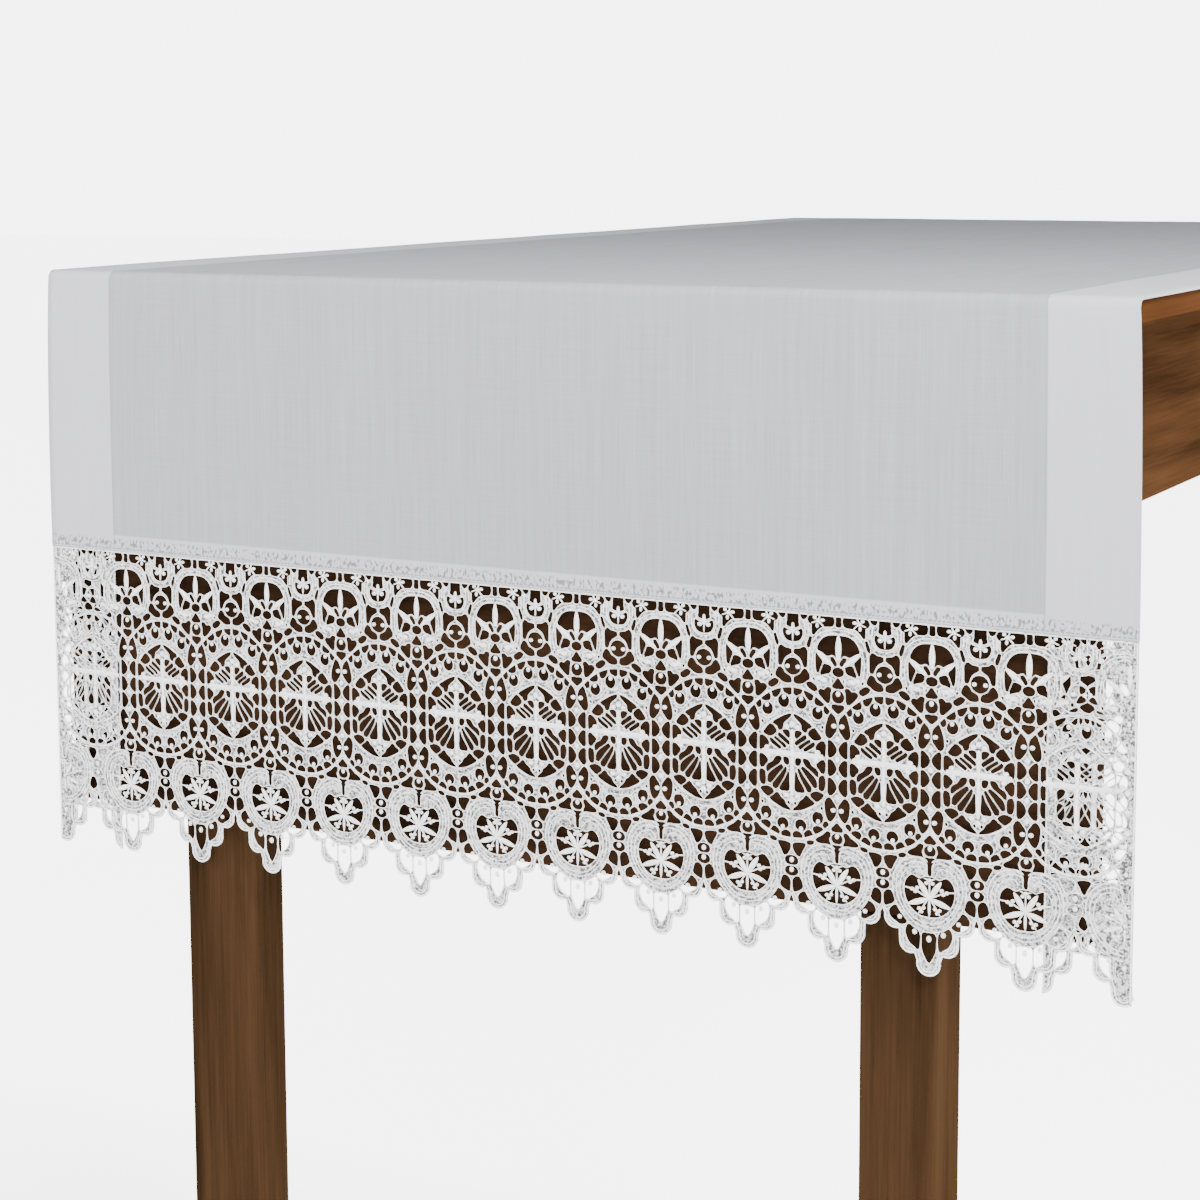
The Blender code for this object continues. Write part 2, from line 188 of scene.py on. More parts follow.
BY_STAR = (
    # between the bars and the cup, round the small flower
    ((0.060, 0.010), (0.180, 0.010), (0.296, 0.010), (0.334, 0.050), (0.322, 0.086), (0.290, 0.102),
     (0.285, 0.150), (0.277, 0.205), (0.255, 0.185), (0.215, 0.142), (0.165, 0.116), (0.062, 0.100)),
    # between the star's petals
    ((0.060, 0.420), (0.086, 0.424), (0.048, 0.494), (0.020, 0.492)),
    ((0.084, 0.520), (0.154, 0.498), (0.172, 0.534), (0.194, 0.582), (0.188, 0.606), (0.154, 0.588),
     (0.110, 0.572), (0.088, 0.546)),
    ((0.232, 0.378), (0.243, 0.400), (0.243, 0.470), (0.237, 0.550), (0.222, 0.585), (0.206, 0.550),
     (0.190, 0.505), (0.178, 0.470), (0.200, 0.440), (0.220, 0.405)),
    # beside the small ring
    ((0.078, 0.732), (0.120, 0.728), (0.150, 0.756), (0.190, 0.752), (0.214, 0.776), (0.180, 0.820),
     (0.140, 0.858), (0.104, 0.870), (0.096, 0.820), (0.092, 0.770)),
    # the upper bow
    ((0.080, 0.982), (0.110, 1.070), (0.126, 1.143), (0.122, 1.205), (0.093, 1.226), (0.050, 1.186),
     (0.020, 1.130), (0.020, 1.070), (0.052, 1.004)),
    # beside the chain of diamonds
    ((0.095, 1.257), (0.050, 1.284), (0.022, 1.338), (0.044, 1.392), (0.093, 1.418), (0.100, 1.338)),
    ((0.095, 1.452), (0.055, 1.468), (0.022, 1.530), (0.050, 1.584), (0.090, 1.604), (0.100, 1.530)),
    ((0.095, 1.638), (0.050, 1.660), (0.022, 1.720), (0.045, 1.774), (0.090, 1.798), (0.100, 1.720)),
    # the lower bow
    ((0.090, 1.838), (0.125, 1.880), (0.126, 1.950), (0.116, 2.000), (0.090, 2.072), (0.044, 2.030),
     (0.020, 1.970), (0.020, 1.930), (0.046, 1.880)),
    # beside the lower small ring
    ((0.076, 2.192), (0.102, 2.186), (0.150, 2.232), (0.230, 2.280), (0.180, 2.296), (0.104, 2.300),
     (0.074, 2.322), (0.070, 2.304), (0.098, 2.252)),
    # the outer lobe
    ((0.358, 2.832), (0.408, 2.870), (0.410, 2.920), (0.325, 2.998), (0.250, 2.976), (0.246, 2.956),
     (0.295, 2.910), (0.318, 2.852)),
    # the middle lobe
    ((0.198, 3.004), (0.230, 3.030), (0.240, 3.090), (0.205, 3.164), (0.132, 3.232), (0.116, 3.226),
     (0.112, 3.070)),
)
# Round openings: line, distance to its side, depth, half width, half height.
ROUND = (
    ("cross", 0.000, 0.545, 0.080, 0.074),
    ("star", 0.000, 0.561, 0.053, 0.040),
    ("star", 0.000, 0.810, 0.056, 0.058),
    ("cross", 0.096, 0.902, 0.054, 0.061),
    ("cross", 0.276, 0.996, 0.054, 0.056),
    ("cross", 0.285, 2.054, 0.054, 0.056),
    ("cross", 0.098, 2.146, 0.055, 0.052),
    ("star", 0.000, 2.245, 0.053, 0.053),
    ("cross", 0.000, 2.520, 0.066, 0.043),
    ("cross", 0.000, 2.622, 0.066, 0.043),
    ("star", 0.066, 0.652, 0.011, 0.014),
    ("star", 0.268, 0.655, 0.011, 0.014),
    ("cross", 0.035, 1.930, 0.011, 0.013),
    ("cross", 0.000, 1.125, 0.011, 0.012),
    ("cross", 0.330, 1.130, 0.010, 0.013),
    ("cross", 0.330, 1.950, 0.010, 0.013),
)
# Dots of thread: line, distance to its side, depth, half width, half height.
DOTS = (
    ("cross", 0.325, 0.058, 0.026, 0.018), ("cross", 0.240, 0.036, 0.021, 0.019),
    ("cross", 0.267, 0.114, 0.017, 0.026), ("cross", 0.276, 0.066, 0.026, 0.022),
    ("cross", 0.000, 0.138, 0.017, 0.036), ("cross", 0.048, 0.208, 0.028, 0.024),
    ("cross", 0.000, 0.190, 0.024, 0.024),
    ("cross", 0.058, 0.548, 0.026, 0.022), ("star", 0.000, 0.780, 0.025, 0.030),
    ("cross", 0.094, 0.864, 0.023, 0.027), ("cross", 0.284, 0.958, 0.023, 0.025),
    ("star", 0.043, 1.105, 0.030, 0.024), ("star", 0.043, 1.955, 0.030, 0.024),
    ("cross", 0.290, 2.090, 0.023, 0.025), ("cross", 0.102, 2.184, 0.023, 0.025),
    ("star", 0.000, 2.214, 0.023, 0.030), ("cross", 0.000, 2.512, 0.026, 0.030),
    ("cross", 0.000, 2.612, 0.026, 0.030),
    ("star", 0.312, 2.932, 0.026, 0.024), ("star", 0.152, 3.062, 0.027, 0.030),
    ("star", 0.000, 3.118, 0.028, 0.034),
    ("star", 0.130, 2.620, 0.024, 0.020), ("star", 0.148, 2.657, 0.023, 0.019),
    ("star", 0.184, 2.636, 0.024, 0.019),
    ("star", 0.000, 2.530, 0.024, 0.021), ("star", 0.032, 2.560, 0.022, 0.019),
    ("star", 0.060, 2.812, 0.022, 0.019), ("star", 0.084, 2.852, 0.022, 0.018),
    ("star", 0.108, 2.822, 0.023, 0.019),
    ("cross", 0.000, 1.130, 0.038, 0.032), ("cross", 0.058, 1.160, 0.034, 0.029),
    ("cross", 0.000, 1.905, 0.036, 0.036), ("cross", 0.066, 1.858, 0.036, 0.028),
    ("cross", 0.280, 1.394, 0.032, 0.028), ("cross", 0.316, 1.434, 0.032, 0.029),
    ("cross", 0.262, 1.476, 0.032, 0.028),
    ("star", 0.155, 0.650, 0.052, 0.030), ("star", 0.218, 0.634, 0.030, 0.028),
    ("star", 0.000, 1.234, 0.032, 0.034), ("star", 0.000, 1.435, 0.032, 0.034),
    ("star", 0.000, 1.620, 0.032, 0.034), ("star", 0.000, 1.820, 0.032, 0.034),
    ("star", 0.000, 2.712, 0.026, 0.023),
)
# Raised cords that border no opening: line, half thickness, points from one end to the other. Those
# that touch the line run on into their mirror image.
RAISED = (
    ("star", 0.008, ((0.000, 0.143), (0.104, 0.152), (0.204, 0.194), (0.274, 0.268), (0.312, 0.366),
                     (0.321, 0.500), (0.307, 0.606), (0.262, 0.690), (0.196, 0.728))),
    ("star", 0.006, ((0.000, 0.178), (0.094, 0.187), (0.174, 0.226), (0.236, 0.294), (0.274, 0.390),
                     (0.286, 0.500), (0.274, 0.590), (0.236, 0.662), (0.178, 0.700))),
    ("star", 0.010, ((0.086, 0.690), (0.074, 0.640), (0.120, 0.604), (0.190, 0.622), (0.205, 0.660))),
    ("cross", 0.008, ((0.128, 0.080), (0.138, 0.150), (0.136, 0.215), (0.108, 0.280), (0.058, 0.314),
                      (0.000, 0.324))),
    ("cross", 0.010, ((0.110, 0.100), (0.140, 0.075), (0.170, 0.100), (0.172, 0.200))),
    ("cross", 0.013, ((0.000, 0.745), (0.120, 0.760), (0.230, 0.800), (0.340, 0.872), (0.440, 0.966),
                      (0.500, 1.030))),
    ("cross", 0.009, ((0.000, 1.005), (0.100, 1.040), (0.200, 1.094), (0.280, 1.162), (0.345, 1.248))),
    ("cross", 0.007, ((0.000, 0.965), (0.060, 0.985), (0.130, 0.975), (0.180, 1.030), (0.250, 1.090),
                      (0.330, 1.080))),
    ("cross", 0.007, ((0.190, 0.900), (0.200, 0.980), (0.170, 1.020))),
    ("cross", 0.009, ((0.000, 2.022), (0.120, 2.000), (0.230, 1.948), (0.320, 1.880), (0.368, 1.818))),
    ("cross", 0.013, ((0.000, 2.298), (0.120, 2.290), (0.230, 2.250), (0.330, 2.200), (0.430, 2.110),
                      (0.500, 2.030))),
    ("cross", 0.007, ((0.000, 2.080), (0.060, 2.070), (0.130, 2.075), (0.190, 2.020), (0.260, 1.985),
                      (0.330, 1.990))),
    ("cross", 0.007, ((0.200, 2.150), (0.200, 2.080), (0.175, 2.040))),
    ("cross", 0.024, ((0.000, 1.180), (0.000, 1.500), (0.000, 1.860))),
    ("cross", 0.034, ((0.000, 1.432), (0.120, 1.432), (0.310, 1.432))),
    ("star", 0.009, ((0.120, 1.230), (0.118, 1.520), (0.120, 1.830))),
    ("star", 0.009, ((0.024, 2.350), (0.080, 2.318), (0.170, 2.318), (0.270, 2.356), (0.350, 2.440),
                     (0.388, 2.560), (0.380, 2.700), (0.335, 2.820), (0.250, 2.935), (0.130, 3.025),
                     (0.000, 3.052))),
    ("star", 0.007, ((0.030, 2.440), (0.050, 2.370), (0.150, 2.356), (0.250, 2.396), (0.318, 2.470),
                     (0.350, 2.570), (0.344, 2.690), (0.300, 2.800), (0.225, 2.900), (0.120, 2.980),
                     (0.000, 3.004))),
    ("star", 0.007, ((0.070, 2.470), (0.110, 2.408), (0.190, 2.414), (0.262, 2.468), (0.306, 2.560),
                     (0.308, 2.680), (0.268, 2.786), (0.196, 2.880), (0.100, 2.946), (0.000, 2.962))),
    ("star", 0.007, ((0.012, 2.724), (0.048, 2.770), (0.084, 2.832), (0.116, 2.874))),
    ("star", 0.007, ((0.016, 2.704), (0.080, 2.676), (0.150, 2.642), (0.210, 2.630), (0.270, 2.624))),
    ("star", 0.007, ((0.000, 2.545), (0.000, 2.620), (0.000, 2.700))),
    ("star", 0.007, ((0.000, 2.548), (0.034, 2.520), (0.060, 2.514))),
    ("cross", 0.007, ((0.276, 0.066), (0.312, 0.096), (0.347, 0.134))),
    ("cross", 0.007, ((0.276, 0.066), (0.288, 0.040), (0.300, 0.004))),
    ("cross", 0.007, ((0.276, 0.066), (0.236, 0.082), (0.204, 0.092))),
    ("cross", 0.007, ((0.000, 0.130), (0.000, 0.200), (0.000, 0.288))),
    ("cross", 0.007, ((0.000, 0.186), (0.048, 0.172), (0.100, 0.150))),
)
# Leaves of thread: line, half width, one tip and the other.
LEAVES = (
    ("star", 0.032, (0.000, 0.194), (0.000, 0.470)),
    ("star", 0.030, (0.052, 0.508), (0.246, 0.360)),
    ("star", 0.029, (0.006, 2.706), (0.122, 2.534)),
    ("star", 0.028, (0.006, 2.716), (0.226, 2.790)),
    ("star", 0.015, (0.000, 2.716), (0.000, 2.896)),
)


def smooth_loop(points, spacing, closed=True):
    """The points of a smooth line through the given ones, no further apart than the spacing."""
    points = np.array(points)
    count = len(points)
    out = []
    for i in range(count if closed else count - 1):
        if closed:
            before, start, stop, after = (points[(i + k) % count] for k in (-1, 0, 1, 2))
        else:
            start, stop = points[i], points[i + 1]
            before = points[max(i - 1, 0)]
            after = points[min(i + 2, count - 1)]
        steps = max(1, math.ceil(np.linalg.norm(stop - start) / spacing))
        for step in range(steps):
            t = step / steps
            out.append(
                0.5 * (2 * start + (stop - before) * t
                       + (2 * before - 5 * start + 4 * stop - after) * t**2
                       + (3 * start - before - 3 * stop + after) * t**3)
            )
    if not closed:
        out.append(points[-1])
    return np.array(out)


def oval(aside, depth, half_wide, half_high, count=14):
    turns = np.linspace(0, 2 * math.pi, count, endpoint=False)
    return np.stack([aside + half_wide * np.sin(turns), depth - half_high * np.cos(turns)], axis=1)


def mirror(points):
    return np.array([(-u, v) for u, v in reversed(list(points))])


def openings():
    """Every opening of one repeat, as (line, smooth closed outline), both sides included."""
    found = []
    for line, rows in (("cross", ON_CROSS), ("star", ON_STAR)):
        for half in rows:
            whole = list(half) + list(mirror(half))
            found.append((line, smooth_loop(whole, 0.028)))
    for line, rows in (("cross", BY_CROSS), ("star", BY_STAR)):
        for row in rows:
            loop = smooth_loop(row, 0.028)
            found.append((line, loop))
            found.append((line, mirror(loop)))
    for line, aside, depth, half_wide, half_high in ROUND:
        count = 7 if half_wide < 0.02 else 14
        loop = oval(aside, depth, half_wide, half_high, count)
        found.append((line, loop))
        if aside:
            found.append((line, mirror(loop)))
    return found


def scallops(first, last):
    """The lace's lower edge between two places across it."""
    points = []
    for n in range(math.floor(first) - 1, math.ceil(last) + 1):
        half = []
        for aside, depth, radius, start, stop, steps in LOBES:
            for step in range(steps + 1):
                angle = math.radians(start + (stop - start) * step / steps)
                half.append((-aside + radius * math.cos(angle), depth - radius * math.sin(angle)))
        whole = [(-0.5, VALLEY_DEPTH)] + half + [(-u, v) for u, v in reversed(half[:-1])]
        points.extend((n + 0.5 + u, v) for u, v in whole)
    points = np.array(points)
    inside = points[(points[:, 0] > first) & (points[:, 0] < last)]
    ends = [(place, np.interp(place, points[:, 0], points[:, 1])) for place in (first, last)]
    return np.vstack([ends[:1], inside, ends[1:]])


def spread_openings():
    """The openings of one repeat, each opened up as far as its neighbours leave room for a cord."""
    placed = [loop + np.array([0.5 if line == "star" else 0.0, 0.0]) for line, loop in openings()]
    crowd = []
    for shift in (-1.0, 0.0, 1.0):
        for number, loop in enumerate(placed):
            finer = np.vstack([loop, (loop + np.roll(loop, -1, axis=0)) / 2]) + np.array([shift, 0.0])
            crowd.append((number if shift == 0.0 else -1, finer))
    foot = scallops(-1.4, 2.4) - np.array([0.0, FOOT_RIM])
    across = np.arange(-1.4, 2.4, 0.012)
    top = np.column_stack([across, np.full(len(across), -0.004)])
    crowd.append((-1, np.column_stack([across, np.interp(across, foot[:, 0], foot[:, 1])])))
    crowd.append((-1, top))
    owners = np.concatenate([np.full(len(points), owner) for owner, points in crowd])
    others = np.vstack([points for _, points in crowd])
    spread = []
    for number, loop in enumerate(placed):
        outward = outwards(loop)
        toward = others[None] - loop[:, None]
        far = np.maximum(np.linalg.norm(toward, axis=2), 1e-9)
        ahead = np.einsum("ijk,ik->ij", toward, outward) > 0.4 * far
        gap = np.where(ahead & (owners != number)[None], far, 9.0).min(axis=1)
        size = math.sqrt(abs(enclosed(loop)))
        most = np.interp(gap, (0.045, 0.085), (OPENED, OPENED_BY_SOLID)) * min(1.0, size / 0.04)
        by = np.clip((gap - WEB) / 2, -0.003, most)
        by = np.minimum(by, np.minimum(np.roll(by, 1), np.roll(by, -1)) + 0.009)
        by = (np.roll(by, 1) + 2 * by + np.roll(by, -1)) / 4
        spread.append(loop + outward * by[:, None])
    return spread


def enclosed(loop):
    """The area inside a closed outline, negative where it runs clockwise."""
    return 0.5 * np.sum(loop[:, 0] * np.roll(loop[:, 1], -1) - np.roll(loop[:, 0], -1) * loop[:, 1])


def outwards(loop):
    """The outward direction at each point of a closed outline."""
    along = np.roll(loop, -1, axis=0) - np.roll(loop, 1, axis=0)
    along /= np.maximum(np.linalg.norm(along, axis=1, keepdims=True), 1e-9)
    normal = np.stack([along[:, 1], -along[:, 0]], axis=1)
    return normal if enclosed(loop) > 0 else -normal


class Weave:
    """Gathers the points and faces of one lace piece."""

    def __init__(self):
        self.points = []
        self.faces = []
        self.count = 0

    def add(self, points, faces):
        self.points.append(np.asarray(points, dtype=float))
        self.faces.extend(tuple(int(i) + self.count for i in face) for face in faces)
        self.count += len(points)

    def tube(self, line, half_wide, half_deep, closed, sides=6, size=None):
        """A cord along a line in the lace's plane, wide in the plane and deep across it. Its size may
        change from point to point."""
        line = np.asarray(line)
        if closed:
            along = np.roll(line, -1, axis=0) - np.roll(line, 1, axis=0)
        else:
            along = np.gradient(line, axis=0)
        along /= np.maximum(np.linalg.norm(along, axis=1, keepdims=True), 1e-9)
        across = np.stack([along[:, 1], -along[:, 0]], axis=1)
        if size is None:
            size = np.ones(len(line))
        turns = np.linspace(0, 2 * math.pi, sides, endpoint=False)
        rings = []
        for turn in turns:
            flat = line + across * (half_wide * size * math.cos(turn))[:, None]
            deep = half_deep * size * math.sin(turn)
            rings.append(np.column_stack([flat, deep]))
        points = np.stack(rings, axis=1).reshape(-1, 3)
        faces = []
        last = len(line) if closed else len(line) - 1
        for i in range(last):
            after = (i + 1) % len(line)
            for k in range(sides):
                beside = (k + 1) % sides
                faces.append((i * sides + k, i * sides + beside, after * sides + beside, after * sides + k))
        if not closed:
            faces.append(tuple(range(sides - 1, -1, -1)))
            faces.append(tuple((len(line) - 1) * sides + k for k in range(sides)))
        self.add(points, faces)

    def button(self, aside, depth, half_wide, half_high, half_deep):
        """A round dot of thread."""
        around, levels = 8, (-60, -20, 20, 60)
        points = [(aside, depth, -half_deep)]
        for level in levels:
            level = math.radians(level)
            for k in range(around):
                turn = 2 * math.pi * k / around
                points.append((aside + half_wide * math.cos(level) * math.cos(turn),
                               depth + half_high * math.cos(level) * math.sin(turn),
                               half_deep * math.sin(level)))
        points.append((aside, depth, half_deep))
        faces = [(0, 1 + (k + 1) % around, 1 + k) for k in range(around)]
        for ring in range(len(levels) - 1):
            low = 1 + ring * around
            for k in range(around):
                beside = (k + 1) % around
                faces.append((low + k, low + beside, low + around + beside, low + around + k))
        top = len(points) - 1
        low = top - around
        faces.extend((low + k, low + (k + 1) % around, top) for k in range(around))
        self.add(points, faces)

    def build(self, name, look, middle, turned=None):
        """The mesh object, hung in its place. A turned piece is mirrored in the line it is folded at."""
        points = np.vstack(self.points)
        across = points[:, 0] * REPEAT
        if turned is not None:
            across = 2 * turned * REPEAT - across
        placed = np.column_stack([across, middle + points[:, 2], LACE_TOP - points[:, 1] * UNIT_DOWN])
        mesh = bpy.data.meshes.new(name)
        mesh.from_pydata(placed.tolist(), [], self.faces)
        mesh.update()
        fresh = bmesh.new()
        fresh.from_mesh(mesh)
        bmesh.ops.recalc_face_normals(fresh, faces=fresh.faces)
        fresh.to_mesh(mesh)
        fresh.free()
        mesh.shade_smooth()
        mesh.set_sharp_from_angle(angle=math.radians(50))
        obj = bpy.data.objects.new(name, mesh)
        bpy.context.scene.collection.objects.link(obj)
        mesh.materials.append(look)
        return obj


def kept_openings(first, last):
    """The openings that lie wholly between two places."""
    kept = []
    pattern = spread_openings()
    for n in range(math.floor(first) - 1, math.ceil(last) + 2):
        for loop in pattern:
            placed = loop + np.array([float(n), 0.0])
            if placed[:, 0].min() > first + 0.02 and placed[:, 0].max() < last - 0.02:
                kept.append(placed)
    return kept


def net(first, last):
    """The solid ground between the openings, as a weave with a front, a back and edges."""
    edge = scallops(first, last)
    outline = np.vstack([[(last, 0.0), (first, 0.0)], edge])
    loops = [outline] + kept_openings(first, last)
    points = []
    bounded = []
    for loop in loops:
        start = len(points)
        points.extend(Vector(p) for p in loop.tolist())
        bounded.append(list(range(start, len(points))))
    made = delaunay_2d_cdt(points, [], bounded, 2, 1e-6)
    flat = np.array([tuple(p) for p in made[0]])
    triangles = made[2]
    half = NET_THICK / 2
    count = len(flat)
    weave = Weave()
    front = np.column_stack([flat, np.full(count, -half)])
    back = np.column_stack([flat, np.full(count, half)])
    faces = [tuple(t) for t in triangles] + [tuple(count + i for i in reversed(t)) for t in triangles]
    uses = {}
    for t in triangles:
        for a, b in zip(t, list(t[1:]) + [t[0]]):
            uses[(a, b)] = True
    for a, b in uses:
        if (b, a) not in uses:
            faces.append((b, a, count + a, count + b))
    weave.add(np.vstack([front, back]), faces)
    return weave


def rims(loops):
    """A cord round each opening."""
    weave = Weave()
    for loop in loops:
        weave.tube(loop + outwards(loop) * CORD * 0.6, CORD, CORD_DEEP, closed=True)
    return weave


def trimmings(first, last):
    """The raised cords and leaves that border no opening, the heading cord and the edge cords."""
    weave = Weave()
    for n in range(math.floor(first) - 1, math.ceil(last) + 2):
        for line, half, row in RAISED:
            shift = n + (0.5 if line == "star" else 0.0)
            for side in (1, -1) if any(u for u, _ in row) else (1,):
                points = [(shift + side * u, v) for u, v in row]
                if min(p[0] for p in points) > first + 0.01 and max(p[0] for p in points) < last - 0.01:
                    cord = smooth_loop(points, 0.03, closed=False)
                    size = np.ones(len(cord))
                    size[0] = size[-1] = 0.35
                    weave.tube(cord, half, CORD_DEEP, False, size=size)
        for line, half, tip, root in LEAVES:
            shift = n + (0.5 if line == "star" else 0.0)
            for side in (1, -1) if tip[0] or root[0] else (1,):
                ends = np.array([(shift + side * tip[0], tip[1]), (shift + side * root[0], root[1])])
                if ends[:, 0].min() > first + 0.01 and ends[:, 0].max() < last - 0.01:
                    share = np.linspace(0.0, 1.0, 9)
                    leaf = ends[0] + (ends[1] - ends[0]) * share[:, None]
                    size = 0.22 + 0.78 * np.sin(math.pi * share) ** 0.8
                    weave.tube(leaf, half, CORD_DEEP, False, size=size)
    edge = scallops(first, last)
    for inset, half in ((0.012, 0.013), (0.044, 0.009)):
        normal = np.gradient(edge, axis=0)
        normal /= np.maximum(np.linalg.norm(normal, axis=1, keepdims=True), 1e-9)
        line = edge + np.stack([normal[:, 1], -normal[:, 0]], axis=1) * inset
        weave.tube(line, half, CORD_DEEP, False)
    steps = max(2, round((last - first) / 0.05))
    places = np.linspace(first, last, steps)
    weave.tube(np.column_stack([places, np.full(steps, 0.0085)]), 0.0075, CORD_DEEP, False)
    for place in (first + 0.012, last - 0.012):
        depth = np.interp(place, edge[:, 0], edge[:, 1])
        column = np.linspace(0.0, depth, 60)
        weave.tube(np.column_stack([np.full(60, place), column]), 0.011, CORD_DEEP, False)
    return weave


def dots(first, last):
    """The round dots of thread."""
    weave = Weave()
    for n in range(math.floor(first) - 1, math.ceil(last) + 2):
        for line, aside, depth, half_wide, half_high in DOTS:
            shift = n + (0.5 if line == "star" else 0.0)
            for side in (1, -1) if aside else (1,):
                place = shift + side * aside
                if first + 0.03 < place < last - 0.03:
                    weave.button(place, depth, half_wide, half_high, CORD_DEEP * 0.98)
    return weave


class Look:
    """A material under construction."""

    def __init__(self, name, roughness):
        self.material = bpy.data.materials.new(name)
        self.material.use_nodes = True
        self.tree = self.material.node_tree
        self.shader = self.tree.nodes["Principled BSDF"]
        self.shader.inputs["Roughness"].default_value = roughness

    def put(self, socket, value):
        if isinstance(value, bpy.types.NodeSocket):
            self.tree.links.new(value, socket)
        elif isinstance(value, tuple) and len(value) == 3 and socket.type == "RGBA":
            socket.default_value = (*value, 1.0)
        else:
            socket.default_value = value

    def node(self, kind, output, settings=(), **inputs):
        made = self.tree.nodes.new(kind)
        for key, value in dict(settings).items():
            setattr(made, key, value)
        for key, value in inputs.items():
            self.put(made.inputs[key.replace("_", " ")], value)
        return made.outputs[output]

    def sum(self, operation, first, second=0.0, third=0.0):
        made = self.tree.nodes.new("ShaderNodeMath")
        made.operation = operation
        for socket, value in zip(made.inputs, (first, second, third)):
            self.put(socket, value)
        return made.outputs[0]

    def stretch(self, source, scale):
        return self.node("ShaderNodeMapping", 0, Vector=source, Scale=scale)

    def noise(self, source, scale, detail=3.0, roughness=0.5):
        stretched = self.stretch(source, scale)
        return self.node("ShaderNodeTexNoise", 0, Vector=stretched, Scale=1.0, Detail=detail, Roughness=roughness)

    def between(self, factor, low, high):
        """A colour between two, by a factor from 0 to 1."""
        made = self.tree.nodes.new("ShaderNodeMix")
        made.data_type = "RGBA"
        self.put(made.inputs[0], factor)
        self.put(made.inputs[6], low)
        self.put(made.inputs[7], high)
        return made.outputs[2]

    def ranged(self, value, low, high, to_low=0.0, to_high=1.0):
        made = self.tree.nodes.new("ShaderNodeMapRange")
        for socket, number in zip(made.inputs, (value, low, high, to_low, to_high)):
            self.put(socket, number)
        return made.outputs[0]

    def bump(self, height, distance, strength=1.0):
        made = self.node("ShaderNodeBump", 0, Height=height, Distance=distance, Strength=strength)
        self.put(self.shader.inputs["Normal"], made)


def cloth_look():
    """Fine plain weave with slubs down its length. The map is (across, along) in metres."""
    look = Look("white_cloth_weave", 0.82)
    place = look.node("ShaderNodeUVMap", 0, {"uv_map": "cut"})
    across = look.node("ShaderNodeSeparateXYZ", 0, Vector=place)
    along = look.node("ShaderNodeSeparateXYZ", 1, Vector=place)
    slub = look.noise(place, (1500.0, 14.0, 1.0), 4.0, 0.6)
    weft = look.noise(place, (16.0, 1300.0, 1.0), 3.0, 0.5)
    broad = look.noise(place, (220.0, 3.0, 1.0), 2.0)
    cloudy = look.noise(place, (6.0, 5.0, 1.0), 2.0)
    threads = look.sum("MULTIPLY", look.sum("SINE", look.sum("MULTIPLY", across, 2 * math.pi / 0.0006)),
                       look.sum("SINE", look.sum("MULTIPLY", along, 2 * math.pi / 0.0006)))
    shade = look.sum("MULTIPLY_ADD", slub, 0.34, look.sum("MULTIPLY", broad, 0.14))
    shade = look.sum("ADD", shade, look.sum("MULTIPLY_ADD", weft, 0.14, look.sum("MULTIPLY", cloudy, 0.06)))
    colour = look.between(look.ranged(shade, 0.24, 0.44), (0.25, 0.25, 0.278), (0.345, 0.345, 0.378))
    edge = look.sum("ABSOLUTE", across)
    side = look.ranged(edge, HALF_WIDTH - SIDE_HEM - 0.0006, HALF_WIDTH - SIDE_HEM + 0.0006)
    foot = look.ranged(along, LOWER_HEM + 0.0006, LOWER_HEM - 0.0006)
    doubled = look.sum("MAXIMUM", side, foot)
    colour = look.between(look.sum("MULTIPLY", doubled, 0.55), colour, (0.54, 0.54, 0.57))
    # Painted shade: the side hems' seam line, a dashed row of stitches and scattered needle pricks along the
    # lower hem are darkened where their holes would lie in shade. The bump also presses them in.
    off = look.sum("ABSOLUTE", look.sum("SUBTRACT", edge, HALF_WIDTH - SIDE_HEM))
    seam = look.ranged(off, 0.0010, 0.0003)
    row = look.sum("ABSOLUTE", look.sum("SUBTRACT", along, 0.0022))
    dash = look.sum("GREATER_THAN", look.sum("FRACT", look.sum("MULTIPLY", across, 1 / 0.0034)), 0.35)
    stitch = look.sum("MULTIPLY", look.ranged(row, 0.0006, 0.0002), dash)
    spots = look.noise(place, (430.0, 230.0, 1.0), 1.0)
    band = look.sum("MULTIPLY", look.ranged(along, 0.0110, 0.0090), look.ranged(along, 0.0010, 0.0030))
    prick = look.sum("MULTIPLY", look.ranged(spots, 0.52, 0.60), band)
    hole_shade_and_dents = look.sum("MAXIMUM", look.sum("MULTIPLY", seam, 0.35), look.sum("MAXIMUM", stitch, prick))
    colour = look.between(look.sum("MULTIPLY", hole_shade_and_dents, 0.80), colour, (0.11, 0.11, 0.12))
    look.put(look.shader.inputs["Base Color"], colour)
    height = look.sum("MULTIPLY_ADD", slub, 0.5, look.sum("MULTIPLY_ADD", threads, 0.12, weft))
    height = look.sum("SUBTRACT", height, look.sum("MULTIPLY", hole_shade_and_dents, 1.5))
    look.bump(height, 0.0001, 0.6)
    look.shader.inputs["Specular IOR Level"].default_value = 0.1
    return look.material


def lace_look():
    """White thread: close stitches over the cords, with painted shade in grey between them."""
    look = Look("lace_thread", 0.75)
    place = look.node("ShaderNodeTexCoord", "Object")
    stitches = look.noise(place, (1500.0, 500.0, 1500.0), 2.0)
    clumps = look.noise(place, (420.0, 420.0, 420.0), 2.0)
    # Painted shade: the stitch noise greys the thread where the crevices between stitches lie in shade. The same
    # noise also raises the stitches in the bump.
    stitch_height_and_shade = look.sum("MULTIPLY_ADD", clumps, 0.6, look.sum("MULTIPLY", stitches, 0.4))
    colour = look.between(look.ranged(stitch_height_and_shade, 0.36, 0.60), (0.72, 0.72, 0.73), (0.95, 0.95, 0.95))
    look.put(look.shader.inputs["Base Color"], colour)
    look.bump(stitch_height_and_shade, 0.0005, 0.7)
    return look.material


